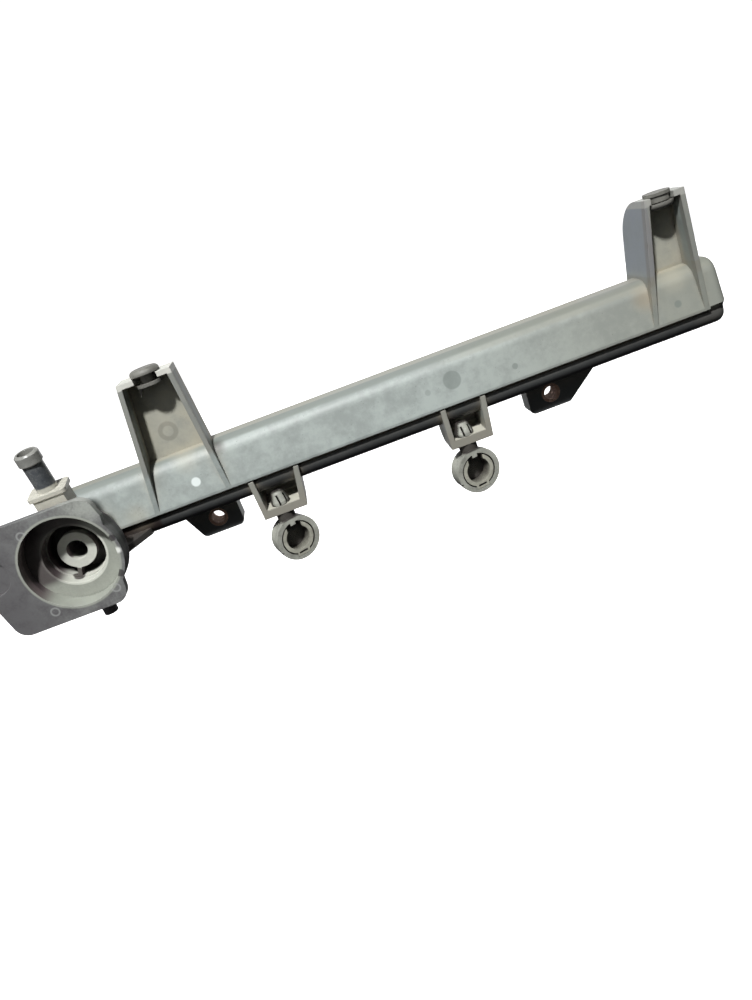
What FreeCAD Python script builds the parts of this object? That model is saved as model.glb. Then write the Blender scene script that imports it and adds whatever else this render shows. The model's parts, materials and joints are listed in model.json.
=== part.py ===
"""Fuel rail: a moulded rail with a regulator housing, two hose clips and two bolt ears.

Millimetres. The origin is the middle of the two bolt holes, on the face that meets the
manifold. +X runs along the rail to its closed end, -Y points away from the manifold and
+Z is up.
"""
import FreeCAD, Part
import os
import re
import Sketcher

SIZES = {
    # Rail section, measured forward from the mounting face and up from the bolt line
    "rail_front": 24.0,
    "rail_back": 2.0,
    "rail_top": 36.5,
    "rail_bottom": 6.7,
    "lip_level": 15.0,
    "lip_flat": 1.2,
    "face_lean": 5.0,
    "groove_height": 1.6,
    "groove_depth": 3.2,
    "band_setback": 2.0,
    "front_top_round": 8.0,
    "rear_round": 4.5,
    "front_bottom_round": 5.0,
    # Rail length and its fuel channel
    "end_margin": 3.7,
    "tail_length": 41.725,
    "end_cap_length": 8.5,
    "end_round": 4.2,
    "rail_wall": 3.4,
    "end_wall": 4.0,
    "channel_round": 4.5,
    "plug_fit": 0.05,
    "plug_depth": 6.0,
    "plug_lid": 2.0,
    "plug_lip": 1.6,
    # Hose towers
    "tower_wall": 2.2,
    "tower_depth": 13.2,
    "slot_width": 10.3,
    "bush_inset": 5.0,
    "left_bush_outset": 0.65,
    "left_tower_top": 73.9,
    "left_tower_plate": 2.3,
    "left_foot_left": 21.5,
    "left_foot_right": 14.6,
    "left_top_left": 12.55,
    "left_top_right": 11.45,
    "right_bush_outset": 20.725,
    "right_tower_top": 69.2,
    "right_tower_plate": 2.6,
    "right_foot_left": 14.3,
    "right_foot_right": 12.1,
    "right_top_left": 7.9,
    "right_top_right": 9.95,
    "hood_depth": 10.6,
    "hood_round": 14.0,
    "hood_flat": 2.6,
    # Rubber bushes
    "bush_gap": 0.1,
    "bush_flange_radius": 5.6,
    "bush_flange": 1.4,
    "bush_drop": 1.0,
    "bush_shank_radius": 3.0,
    "bush_head_radius": 6.5,
    "bush_head": 2.5,
    "bush_dome": 1.9,
    "bush_lift": 0.4,
    "bush_neck_radius": 4.1,
    "fin_drop": 5.4,
    "fin_reach": 3.4,
    "fin_thickness": 1.2,
    # Clip brackets
    "bracket_top": 14.3,
    "bracket_drop": 4.8,
    "bracket_floor": 3.8,
    "bracket_wall": 2.4,
    "bracket_depth": 21.0,
    "bracket_round": 6.0,
    "left_clip_x": -52.4,
    "left_bracket_top_left": 9.75,
    "left_bracket_top_right": 14.05,
    "left_bracket_foot_left": 9.15,
    "left_bracket_foot_right": 11.35,
    "right_clip_x": 37.2,
    "right_bracket_top_left": 7.85,
    "right_bracket_top_right": 13.45,
    "right_bracket_foot_left": 7.95,
    "right_bracket_foot_right": 11.95,
    # Swivel clips
    "clip_inset": 4.4,
    "left_clip_turn": 23.0,
    "right_clip_turn": 13.0,
    "stem_radius": 3.4,
    "stem_gap": 0.05,
    "stem_lift": 0.15,
    "collar_radius": 4.2,
    "snap_radius": 4.35,
    "snap_barb": 1.4,
    "snap_height": 6.2,
    "snap_tip_radius": 2.6,
    "snap_round": 1.2,
    "snap_slot": 0.8,
    "snap_slot_offset": 1.7,
    "snap_slot_height": 4.8,
    "ring_level": 18.6,
    "barrel_length": 8.5,
    "barrel_back": 1.3,
    "barrel_radius": 10.1,
    "rim_radius": 10.6,
    "rim_length": 2.6,
    "shell_bore": 8.2,
    "tongue_width": 2.6,
    "tongue_reach": 1.5,
    "seam_width": 0.6,
    "seam_depth": 0.8,
    "seam_drop": 3.2,
    # Clip liners
    "liner_length": 6.6,
    "liner_setback": 0.3,
    "liner_outer": 7.6,
    "liner_bore": 5.8,
    "liner_mouth": 7.6,
    "foot_width": 6.6,
    "foot_seat": 0.6,
    "foot_fit": 0.05,
    "foot_slot_width": 4.2,
    "foot_slot_height": 0.9,
    "foot_slot_wall": 1.0,
    # Bolt ears and their sleeves
    "ear_pitch": 166.7,
    "ear_depth": 10.0,
    "ear_drop": 7.3,
    "ear_round": 2.6,
    "ear_root": 2.0,
    "left_ear_outer_top": 16.4,
    "left_ear_outer_foot": 9.3,
    "left_ear_inner": 10.7,
    "right_ear_inner": 11.4,
    "right_ear_outer_foot": 8.2,
    "right_ear_outer_top": 27.6,
    "sleeve_radius": 4.5,
    "sleeve_bore": 3.2,
    "sleeve_fit": 0.02,
    # Injector cups
    "injector_pitch": 83.35,
    "cup_level": 19.6,
    "cup_radius": 9.8,
    "cup_rim_radius": 11.0,
    "cup_rim": 2.4,
    "cup_reach": 14.0,
    "cup_bore": 7.1,
    "cup_depth": 16.0,
    "cup_lead": 1.0,
    "port_radius": 3.0,
    # Regulator seat on the rail
    "regulator_outset": 7.725,
    "regulator_level": 21.5,
    "seat_front": 30.0,
    "seat_radius": 9.8,
    "seat_drop": 4.0,
    "spigot_radius": 6.2,
    "spigot_fit": 0.05,
    "web_drop": 14.1,
    "web_height": 2.8,
    "web_gap": 0.4,
    "web_front": 37.5,
    "web_front_reach": 11.3,
    "web_rear_reach": 22.2,
    # Regulator housing
    "flange_front": 64.0,
    "flange_thickness": 3.6,
    "flange_rise": 1.5,
    "flange_drop": 1.9,
    "shoulder_inset": 1.7,
    "flange_shoulder_level": 13.6,
    "top_right_inset": 3.8,
    "foot_right_inset": 6.6,
    "foot_left_reach": 10.4,
    "waist_left_reach": 13.4,
    "flange_waist_level": 8.0,
    "lobe_reach": 19.8,
    "lobe_low": 3.5,
    "lobe_high": 13.5,
    "top_left_reach": 11.8,
    "flange_round": 6.0,
    "lobe_round": 6.0,
    "screw_reach": 9.8,
    "screw_level": 5.0,
    "screw_seat_radius": 8.0,
    "screw_seat_depth": 1.6,
    "screw_bore": 2.75,
    "housing_radius": 21.2,
    "housing_depth": 10.0,
    "waist_radius": 14.6,
    "waist_depth": 25.5,
    "housing_wall": 2.2,
    "bore_one_depth": 8.0,
    "bore_two_radius": 12.5,
    "well_radius": 11.6,
    "well_depth": 23.0,
    "tube_radius": 7.75,
    "tube_bore": 4.2,
    "tube_setback": 13.0,
    "inlet_depth": 27.0,
    "tube_web": 1.8,
    "tube_web_slant": 0.36,
    "peg_forward": 50.2,
    "peg_radius": 3.0,
    "peg_reach": 31.0,
    # Hose nipple
    "nipple_forward": 47.0,
    "nipple_rise": 27.0,
    "nipple_lean": 9.0,
    "nipple_radius": 4.2,
    "nipple_mouth": 3.4,
    "nipple_bore": 2.5,
    "nipple_tube": 12.0,
    "bead_radius": 4.95,
    "bead_length": 5.2,
    "bead_taper": 0.7,
    "collar_width": 16.0,
    "collar_length": 11.4,
    "collar_thickness": 1.7,
    "collar_round": 1.8,
    "boss_width": 12.6,
    "boss_length": 10.4,
    "boss_height": 14.0,
    "socket_depth": 10.0,
    "socket_gap": 0.05,
    "ring_groove_radius": 3.1,
    "ring_groove_width": 2.3,
    "ring_groove_drop": 5.6,
    "passage_radius": 2.6,
    "passage_gap": 2.0,
}

# Places that follow from the spacing of the injectors
TIED = {
    "regulator_x": "-1.5 * injector_pitch - regulator_outset",
    "rail_left": "1.5 * injector_pitch + regulator_outset + seat_radius + end_margin",
    "rail_right": "1.5 * injector_pitch + tail_length",
    "left_bush_x": "-injector_pitch - left_bush_outset",
    "right_bush_x": "1.5 * injector_pitch + right_bush_outset",
    "bore_one_radius": "housing_radius - housing_wall",
    "flange_top": "housing_radius + flange_rise",
    "flange_bottom": "housing_radius + flange_drop",
    "flange_shoulder": "housing_radius - shoulder_inset",
    "flange_top_right": "housing_radius - top_right_inset",
    "flange_foot_right": "housing_radius - foot_right_inset",
    "flange_foot_left": "housing_radius + foot_left_reach",
    "flange_waist_left": "housing_radius + waist_left_reach",
    "flange_top_left": "housing_radius + top_left_reach",
    "lobe_left": "housing_radius + lobe_reach",
    "screw_x": "housing_radius + screw_reach",
}

ALIAS = re.compile(r"[a-z][a-z_]*")

DOC = FreeCAD.newDocument("FuelRail")
SHEET = DOC.addObject("Spreadsheet::Sheet", "Sizes")
for row, (alias, number) in enumerate(SIZES.items(), start=1):
    SHEET.set("A%d" % row, alias)
    SHEET.set("B%d" % row, str(number))
    SHEET.setAlias("B%d" % row, alias)
DOC.recompute()


def cell_name(word):
    """Give a size's cell, or the bracketed formula of a place tied to sizes."""
    if word in TIED:
        return "(" + ALIAS.sub(lambda part: cell_name(part.group()), TIED[word]) + ")"
    return "Sizes." + word if word in SIZES else word


def bind(thing, prop, formula):
    """Tie a property to a formula of the named sizes."""
    thing.setExpression(prop, ALIAS.sub(lambda word: cell_name(word.group()), formula))


# Sketches and features

def new_body(name, x="0", y="0", z="0", turn_axis=None, turn="0"):
    """Start a body whose own frame stands at a named place, turned about one axis."""
    body = DOC.addObject("PartDesign::Body", name)
    if turn_axis:
        body.Placement = FreeCAD.Placement(FreeCAD.Vector(), FreeCAD.Rotation(turn_axis, 1.0))
        bind(body, "Placement.Rotation.Angle", turn)
    bind(body, "Placement.Base.x", x)
    bind(body, "Placement.Base.y", y)
    bind(body, "Placement.Base.z", z)
    return body


def new_sketch(body, name, plane, offset="0"):
    """Start a sketch on one of the body's own planes: front is XZ, side is YZ, top is XY."""
    role = {"front": "XZ_Plane", "side": "YZ_Plane", "top": "XY_Plane"}[plane]
    sketch = body.newObject("Sketcher::SketchObject", body.Name + "_" + name)
    support = [feature for feature in body.Origin.OriginFeatures if feature.Role == role][0]
    sketch.AttachmentSupport = [(support, "")]
    sketch.MapMode = "FlatFace"
    bind(sketch, "AttachmentOffset.Base.z", offset)
    return sketch


def pin_point(sketch, geometry, point, place):
    """Hold a point of the sketch at two distances from its origin."""
    for kind, formula in zip(("DistanceX", "DistanceY"), place):
        number = sketch.addConstraint(Sketcher.Constraint(kind, -1, 1, geometry, point, 1.0))
        bind(sketch, "Constraints[%d]" % number, formula)


def draw_outline(sketch, corners):
    """Draw a closed outline of straight lines through the corners."""
    count = len(corners)
    turn = FreeCAD.Rotation(FreeCAD.Vector(0, 0, 1), 360.0 / count)
    spots = [FreeCAD.Vector(1, 0, 0)]
    while len(spots) < count:
        spots.append(turn.multVec(spots[-1]))
    first = sketch.GeometryCount
    for index in range(count):
        sketch.addGeometry(Part.LineSegment(spots[index], spots[(index + 1) % count]), False)
    for index in range(count):
        after = first + (index + 1) % count
        sketch.addConstraint(Sketcher.Constraint("Coincident", first + index, 2, after, 1))
        pin_point(sketch, first + index, 1, corners[index])
    return sketch


def draw_circle(sketch, radius, centre=("0", "0")):
    """Draw a circle."""
    number = sketch.addGeometry(Part.Circle(FreeCAD.Vector(), FreeCAD.Vector(0, 0, 1), 1.0), False)
    pin_point(sketch, number, 3, centre)
    ring = sketch.addConstraint(Sketcher.Constraint("Radius", number, 1.0))
    bind(sketch, "Constraints[%d]" % ring, radius)
    return sketch


def add_feature(body, kind, sketch, length, reverse=False):
    """Pad or pocket a sketch: on a front plane, a pad runs forward and a pocket runs back."""
    feature = body.newObject("PartDesign::" + kind, sketch.Name + "_" + kind.lower())
    feature.Profile = (sketch, [""])
    feature.Reversed = reverse
    bind(feature, "Length", length)
    return feature


def spin(body, kind, sketch, axis):
    """Revolve a sketch all the way round one of its own axes."""
    feature = body.newObject("PartDesign::" + kind, sketch.Name + "_" + kind.lower())
    feature.Profile = (sketch, [""])
    feature.ReferenceAxis = (sketch, [axis])
    feature.Angle = 360.0
    return feature


def round_edges(body, name, edge_test, radius):
    """Round the edges of the body's last feature that pass the test."""
    DOC.recompute()
    base = body.Tip
    edges = ["Edge%d" % (index + 1) for index, edge in enumerate(base.Shape.Edges) if edge_test(edge)]
    if not edges:
        raise ValueError("No edge to round: " + body.Name + " " + name)
    feature = body.newObject("PartDesign::Fillet", body.Name + "_" + name)
    feature.Base = (base, edges)
    bind(feature, "Radius", radius)
    return feature


def drawn_by(sketch, corners):
    """Make a test for the long edges that a profile's corners drew."""
    DOC.recompute()
    place = sketch.Placement
    normal = place.Rotation.multVec(FreeCAD.Vector(0, 0, 1))
    marks = [place.multVec(sketch.Geometry[corner].StartPoint) for corner in corners]
    near = 1e-3

    def passes(edge):
        ends = [vertex.Point for vertex in edge.Vertexes]
        if len(ends) < 2 or edge.Curve.TypeId != "Part::GeomLine":
            return False
        off_line = [min((end - mark).cross(normal).Length for mark in marks) for end in ends]
        along = abs((ends[1] - ends[0]).normalize().dot(normal))
        return max(off_line) < near and along > 1 - near

    return passes


def on_plane(axis, level):
    """Make a test for edges that lie wholly at one level of an axis."""
    near = 1e-3

    def passes(edge):
        return all(abs(getattr(vertex.Point, axis) - level) < near for vertex in edge.Vertexes)

    return passes


def fuse(name, pieces):
    """Join solids into one."""
    joined = DOC.addObject("Part::MultiFuse", name)
    joined.Shapes = pieces
    joined.Refine = True
    return joined


def cut(name, base, tool):
    """Take one solid out of another."""
    rest = DOC.addObject("Part::Cut", name)
    rest.Base = base
    rest.Tool = tool
    rest.Refine = True
    return rest


# Rail tube, its closed end and its fuel channel

def build_tube():
    """Long moulded section with a leaning face, a lip and the groove under it."""
    body = new_body("tube")
    sketch = new_sketch(body, "section", "side", "-rail_left")
    draw_outline(sketch, [
        ("-rail_front", "lip_level"),
        ("-rail_front", "lip_level + lip_flat"),
        ("-rail_front + face_lean", "rail_top"),
        ("-rail_back", "rail_top"),
        ("-rail_back", "rail_bottom"),
        ("-rail_front + band_setback", "rail_bottom"),
        ("-rail_front + band_setback", "lip_level - groove_height"),
        ("-rail_front + groove_depth", "lip_level - groove_height"),
        ("-rail_front + groove_depth", "lip_level"),
    ])
    add_feature(body, "Pad", sketch, "rail_left + rail_right - end_cap_length")
    round_edges(body, "top_round", drawn_by(sketch, [2]), "front_top_round")
    round_edges(body, "rear_round", drawn_by(sketch, [3, 4]), "rear_round")
    round_edges(body, "bottom_round", drawn_by(sketch, [5]), "front_bottom_round")
    return body


def build_end_cap():
    """Smooth rounded end, past the end of the groove."""
    body = new_body("end_cap")
    sketch = new_sketch(body, "section", "side", "rail_right - end_cap_length")
    draw_outline(sketch, [
        ("-rail_front + band_setback", "rail_bottom"),
        ("-rail_front + band_setback", "lip_level - groove_height"),
        ("-rail_front", "lip_level + lip_flat"),
        ("-rail_front + face_lean", "rail_top"),
        ("-rail_back", "rail_top"),
        ("-rail_back", "rail_bottom"),
    ])
    add_feature(body, "Pad", sketch, "end_cap_length")
    round_edges(body, "top_round", drawn_by(sketch, [3]), "front_top_round")
    round_edges(body, "rear_round", drawn_by(sketch, [4, 5]), "rear_round")
    round_edges(body, "bottom_round", drawn_by(sketch, [0]), "front_bottom_round")
    end = 1.5 * SIZES["injector_pitch"] + SIZES["tail_length"]
    round_edges(body, "end_round", on_plane("x", end), "end_round")
    return body


def channel_corners(margin):
    """Corners of the fuel channel's section, grown outward by a margin."""
    front = "-rail_front + groove_depth + rail_wall - " + margin
    front_top = "-rail_front + face_lean + rail_wall - " + margin
    back = "-rail_back - rail_wall + " + margin
    top = "rail_top - rail_wall + " + margin
    bottom = "rail_bottom + rail_wall - " + margin
    return [(front, bottom), (front_top, top), (back, top), (back, bottom)]


def build_channel():
    """Core that forms the fuel channel, drawn out of the left end."""
    body = new_body("channel")
    sketch = new_sketch(body, "section", "side", "-rail_left")
    draw_outline(sketch, channel_corners("0"))
    add_feature(body, "Pad", sketch, "rail_left + rail_right - end_wall")
    round_edges(body, "round", drawn_by(sketch, [0, 1, 2, 3]), "channel_round")
    return body


def build_end_plug():
    """Plug welded into the left end: a stopper in the channel and a lid on the end face."""
    body = new_body("end_plug")
    stopper = new_sketch(body, "stopper", "side", "-rail_left")
    draw_outline(stopper, channel_corners("(-plug_fit)"))
    add_feature(body, "Pad", stopper, "plug_depth")
    round_edges(body, "stopper_round", drawn_by(stopper, [0, 1, 2, 3]), "channel_round - plug_fit")
    lid = new_sketch(body, "lid", "side", "-rail_left")
    draw_outline(lid, channel_corners("plug_lip"))
    add_feature(body, "Pad", lid, "plug_lid", reverse=True)
    round_edges(body, "lid_round", drawn_by(lid, [0, 1, 2, 3]), "channel_round")
    return body


# Hose towers and their rubber bushes

def tower_reach(side, way, level):
    """How far a tower reaches one way at a level of its taper."""
    foot = "%s_foot_%s" % (side, way)
    top = "%s_top_%s" % (side, way)
    rise = "((%s) - lip_level) / (%s_tower_top - lip_level)" % (level, side)
    return "(%s + (%s - %s) * %s)" % (foot, top, foot, rise)


def tower_corners(side, wall, top, foot):
    """Corners of a tower seen from the front, drawn in by a wall."""
    return [
        ("-%s + %s" % (tower_reach(side, "left", foot), wall), foot),
        ("-%s + %s" % (tower_reach(side, "left", top), wall), top),
        ("%s - %s" % (tower_reach(side, "right", top), wall), top),
        ("%s - %s" % (tower_reach(side, "right", foot), wall), foot),
    ]


def cut_bush_slot(body, side):
    """Slot through the top plate, open to the front, with a round end for the bush."""
    mouth = new_sketch(body, "mouth", "top", side + "_tower_top")
    draw_outline(mouth, [
        ("-slot_width / 2", "-rail_front - bush_inset"),
        ("slot_width / 2", "-rail_front - bush_inset"),
        ("slot_width / 2", "-rail_front + bush_inset"),
        ("-slot_width / 2", "-rail_front + bush_inset"),
    ])
    add_feature(body, "Pocket", mouth, side + "_tower_plate")
    seat = new_sketch(body, "seat", "top", side + "_tower_top")
    draw_circle(seat, "slot_width / 2", ("0", "-rail_front + bush_inset"))
    add_feature(body, "Pocket", seat, side + "_tower_plate")


def build_tower(side, depth):
    """Tapered tower with two side walls, a back wall and a slotted top plate."""
    body = new_body(side + "_tower", x=side + "_bush_x")
    shell = new_sketch(body, "shell", "front", "rail_front")
    draw_outline(shell, tower_corners(side, "0", side + "_tower_top", "lip_level"))
    add_feature(body, "Pad", shell, depth, reverse=True)
    if side == "right":
        shape_hood(body, side)
    hollow = new_sketch(body, "hollow", "front", "rail_front")
    ceiling = "%s_tower_top - %s_tower_plate" % (side, side)
    draw_outline(hollow, tower_corners(side, "tower_wall", ceiling, "lip_level"))
    add_feature(body, "Pocket", hollow, "tower_depth - tower_wall")
    cut_bush_slot(body, side)
    return body


def shape_hood(body, side):
    """Round the hood's rear edge, slant its rear in plan and core it out below the round."""
    rear = SIZES["tower_depth"] + SIZES["hood_depth"] - SIZES["rail_front"]
    high = on_plane("z", SIZES[side + "_tower_top"])
    back = on_plane("y", rear)
    round_edges(body, "hood", lambda edge: high(edge) and back(edge), "hood_round")
    slant = new_sketch(body, "slant", "top", side + "_tower_top")
    draw_outline(slant, [
        (side + "_foot_right", "-rail_front + tower_depth"),
        (side + "_foot_right", "-rail_front + tower_depth + hood_depth"),
        ("-%s_top_left + hood_flat" % side, "-rail_front + tower_depth + hood_depth"),
    ])
    add_feature(body, "Pocket", slant, side + "_tower_top - lip_level")
    core = new_sketch(body, "core", "front", "rail_front - tower_depth")
    draw_outline(core, tower_corners(side, "tower_wall", side + "_tower_top - hood_round", "rail_top"))
    add_feature(body, "Pocket", core, "hood_depth")


def build_bush(side, z, turn):
    """Rubber bush in a tower's slot: a domed head, a shank and a flange past the plate."""
    body = new_body("bush_" + side, side + "_bush_x", "-rail_front + bush_inset", z,
                    FreeCAD.Vector(0, 1, 0), turn)
    plate = side + "_tower_plate"
    low = "-%s - bush_drop" % plate if side == "left" else "-" + plate
    shank = "bush_shank_radius" if side == "left" else "slot_width / 2 - bush_gap"
    profile = new_sketch(body, "profile", "front")
    draw_outline(profile, [
        ("0", low + " - bush_flange"),
        ("bush_flange_radius", low + " - bush_flange"),
        ("bush_flange_radius", low),
        (shank, low),
        (shank, "0"),
        ("bush_neck_radius", "0"),
        ("bush_neck_radius", "bush_lift"),
        ("bush_head_radius", "bush_lift"),
        ("bush_head_radius", "bush_lift + bush_head"),
        ("0", "bush_lift + bush_head"),
    ])
    spin(body, "Revolution", profile, "V_Axis")
    round_edges(body, "dome", on_plane("z", SIZES["bush_lift"] + SIZES["bush_head"]), "bush_dome")
    if side == "left":
        fin = new_sketch(body, "fin", "front", "-fin_thickness / 2")
        draw_outline(fin, [
            ("-bush_flange_radius", low),
            ("-bush_flange_radius", low + " - fin_drop"),
            ("-bush_flange_radius + fin_reach", low),
        ])
        add_feature(body, "Pad", fin, "fin_thickness")
    return body


# Clip brackets, swivel clips and their liners

def bracket_corners(side, wall, foot):
    """Corners of a bracket seen from the front, drawn in by a wall."""
    return [
        ("-%s_bracket_top_left + %s" % (side, wall), "bracket_top"),
        ("%s_bracket_top_right - %s" % (side, wall), "bracket_top"),
        ("%s_bracket_foot_right - %s" % (side, wall), foot),
        ("-%s_bracket_foot_left + %s" % (side, wall), foot),
    ]


def build_bracket(side):
    """Open-fronted box under the rail, whose floor holds a clip's stem."""
    body = new_body(side + "_bracket", x=side + "_clip_x")
    shell = new_sketch(body, "shell", "front", "rail_front")
    draw_outline(shell, bracket_corners(side, "0", "-bracket_drop"))
    add_feature(body, "Pad", shell, "bracket_depth", reverse=True)
    low = on_plane("z", -SIZES["bracket_drop"])
    back = on_plane("y", SIZES["bracket_depth"] - SIZES["rail_front"])
    round_edges(body, "heel", lambda edge: low(edge) and back(edge), "bracket_round")
    hollow = new_sketch(body, "hollow", "front", "rail_front")
    draw_outline(hollow, bracket_corners(side, "bracket_wall", "-bracket_drop + bracket_floor"))
    add_feature(body, "Pocket", hollow, "bracket_depth - bracket_wall")
    floor = on_plane("z", SIZES["bracket_floor"] - SIZES["bracket_drop"])
    inner_back = on_plane("y", SIZES["bracket_depth"] - SIZES["bracket_wall"] - SIZES["rail_front"])
    round_edges(body, "cove", lambda edge: floor(edge) and inner_back(edge), "bracket_round - bracket_floor")
    hole = new_sketch(body, "hole", "top", "-bracket_drop")
    draw_circle(hole, "stem_radius + stem_gap", ("0", "-rail_front + clip_inset"))
    add_feature(body, "Pocket", hole, "bracket_floor", reverse=True)
    return body


def new_clip_part(name, side):
    """Start a body in the clip's frame: on its swivel axis, turned with the clip."""
    return new_body(name, side + "_clip_x", "-rail_front + clip_inset", "0",
                    FreeCAD.Vector(0, 0, 1), side + "_clip_turn")


def draw_box(sketch, low, high):
    """Draw an upright rectangle between two opposite corners."""
    return draw_outline(sketch, [low, (high[0], low[1]), high, (low[0], high[1])])


def build_clip(side):
    """Clip body: a blind barrel with a rim, hung from a split snap stem that swivels in the bracket."""
    body = new_clip_part("clip_%s_body" % side, side)
    centre = ("0", "-ring_level")
    half = "barrel_length / 2"
    add_feature(body, "Pad", draw_circle(new_sketch(body, "barrel", "front", half), "barrel_radius", centre),
                "barrel_length", reverse=True)
    add_feature(body, "Pad", draw_circle(new_sketch(body, "rim", "front", half), "rim_radius", centre),
                "rim_length", reverse=True)
    stem = new_sketch(body, "stem", "front")
    above = "-bracket_drop + bracket_floor + stem_lift"
    draw_outline(stem, [
        ("0", "-ring_level + shell_bore"),
        ("collar_radius", "-ring_level + shell_bore"),
        ("collar_radius", "-bracket_drop - stem_lift"),
        ("stem_radius", "-bracket_drop - stem_lift"),
        ("stem_radius", above),
        ("snap_radius", above),
        ("snap_radius", above + " + snap_barb"),
        ("snap_tip_radius", above + " + snap_height"),
        ("0", above + " + snap_height"),
    ])
    spin(body, "Revolution", stem, "V_Axis")
    crown = SIZES["bracket_floor"] + SIZES["stem_lift"] + SIZES["snap_height"] - SIZES["bracket_drop"]
    round_edges(body, "crown", on_plane("z", crown), "snap_round")
    bore = draw_circle(new_sketch(body, "bore", "front", half), "shell_bore", centre)
    add_feature(body, "Pocket", bore, "barrel_length - barrel_back")
    groove = new_sketch(body, "foot_groove", "front", half)
    draw_box(groove, ("-foot_width / 2 - foot_fit", "-ring_level - shell_bore - foot_seat"),
             ("foot_width / 2 + foot_fit", "-ring_level"))
    add_feature(body, "Pocket", groove, "barrel_length - barrel_back")
    tongue = new_sketch(body, "tongue", "front", half)
    draw_box(tongue, ("-tongue_width / 2", "-ring_level + shell_bore - tongue_reach"),
             ("tongue_width / 2", "-ring_level + (shell_bore + barrel_radius) / 2"))
    add_feature(body, "Pad", tongue, "barrel_length", reverse=True)
    seam = new_sketch(body, "seam", "front", half)
    draw_box(seam, ("-rim_radius - seam_depth", "-ring_level - seam_drop - seam_width"),
             ("-barrel_radius + seam_depth", "-ring_level - seam_drop"))
    add_feature(body, "Pocket", seam, "barrel_length")
    cut_snap_slots(body)
    return body


def cut_snap_slots(body):
    """Two slots that let the snap head close as it is pushed through the bracket."""
    above = "-bracket_drop + bracket_floor + stem_lift"
    for name, sign in (("left_slot", "-"), ("right_slot", "")):
        slot = new_sketch(body, name, "front", "snap_radius")
        middle = sign + "snap_slot_offset"
        draw_box(slot, (middle + " - snap_slot / 2", above),
                 (middle + " + snap_slot / 2", above + " + snap_slot_height"))
        add_feature(body, "Pocket", slot, "2 * snap_radius")


def build_liner(side):
    """Springy liner, open at the top, whose foot is seated in the barrel."""
    body = new_clip_part("clip_%s_liner" % side, side)
    centre = ("0", "-ring_level")
    half = "barrel_length / 2 - liner_setback"
    disc = draw_circle(new_sketch(body, "disc", "front", half), "liner_outer", centre)
    add_feature(body, "Pad", disc, "liner_length", reverse=True)
    foot = new_sketch(body, "foot", "front", half)
    draw_box(foot, ("-foot_width / 2", "-ring_level - shell_bore - foot_seat + foot_fit"),
             ("foot_width / 2", "-ring_level"))
    add_feature(body, "Pad", foot, "liner_length", reverse=True)
    bore = draw_circle(new_sketch(body, "bore", "front", half), "liner_bore", centre)
    add_feature(body, "Pocket", bore, "liner_length")
    mouth = new_sketch(body, "mouth", "front", half)
    draw_box(mouth, ("-liner_mouth / 2", "-ring_level"), ("liner_mouth / 2", "-ring_level + liner_outer"))
    add_feature(body, "Pocket", mouth, "liner_length")
    slot = new_sketch(body, "slot", "front", half)
    slot_top = "-ring_level - liner_bore - foot_slot_wall"
    draw_box(slot, ("-foot_slot_width / 2", slot_top + " - foot_slot_height"), ("foot_slot_width / 2", slot_top))
    add_feature(body, "Pocket", slot, "liner_length")
    return body


# Bolt ears and their steel sleeves

def build_ear(side, x, corners):
    """Bolt ear hanging under the rail, with the hole for its sleeve."""
    body = new_body(side + "_ear", x=x)
    plate = draw_outline(new_sketch(body, "plate", "front"), corners)
    add_feature(body, "Pad", plate, "ear_depth")
    round_edges(body, "foot_round", drawn_by(plate, [1, 2]), "ear_round")
    hole = draw_circle(new_sketch(body, "hole", "front"), "sleeve_radius + sleeve_fit")
    add_feature(body, "Pocket", hole, "ear_depth", reverse=True)
    return body


def build_ears():
    """Left and right ears, whose outlines differ."""
    root = "rail_bottom + ear_root"
    foot = "-ear_drop"
    left = build_ear("left", "-ear_pitch / 2", [
        ("-left_ear_outer_top", root),
        ("-left_ear_outer_foot", foot),
        ("left_ear_inner", foot),
        ("left_ear_inner", root),
    ])
    right = build_ear("right", "ear_pitch / 2", [
        ("-right_ear_inner", root),
        ("-right_ear_inner", foot),
        ("right_ear_outer_foot", foot),
        ("right_ear_outer_top", root),
    ])
    return [left, right]


def build_sleeve(side, x):
    """Steel sleeve that takes the bolt's load through the ear."""
    body = new_body("ear_sleeve_" + side, x=x)
    ring = new_sketch(body, "ring", "front")
    draw_circle(ring, "sleeve_radius")
    draw_circle(ring, "sleeve_bore")
    add_feature(body, "Pad", ring, "ear_depth")
    return body


# Injector cups

def build_injector_cup(number, name, corners):
    """One body of revolution about an injector's axis."""
    body = new_body("%s_%d" % (name, number + 1), x="injector_pitch * (%d - 1.5)" % number, z="cup_level")
    profile = draw_outline(new_sketch(body, "profile", "side"), corners)
    spin(body, "Revolution", profile, "H_Axis")
    return body


def build_injector_cups():
    """Four cups on the rail's back, and the cores of their bores and ports."""
    wall_inside = "-rail_back - rail_wall"
    channel_middle = "-(rail_front + rail_back) / 2"
    bore_end = "cup_reach - cup_depth"
    cups = []
    cores = []
    for number in range(4):
        cups.append(build_injector_cup(number, "cup", [
            (wall_inside, "0"),
            (wall_inside, "cup_radius"),
            ("cup_reach - cup_rim", "cup_radius"),
            ("cup_reach - cup_rim", "cup_rim_radius"),
            ("cup_reach", "cup_rim_radius"),
            ("cup_reach", "0"),
        ]))
        cores.append(build_injector_cup(number, "cup_core", [
            (channel_middle, "0"),
            (channel_middle, "port_radius"),
            (bore_end, "port_radius"),
            (bore_end, "cup_bore"),
            ("cup_reach - cup_lead", "cup_bore"),
            ("cup_reach", "cup_bore + cup_lead"),
            ("cup_reach", "0"),
        ]))
    return cups, cores


# Regulator seat and housing

def new_regulator_part(name):
    """Start a body on the regulator's axis."""
    return new_body(name, x="regulator_x", z="regulator_level")


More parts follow.
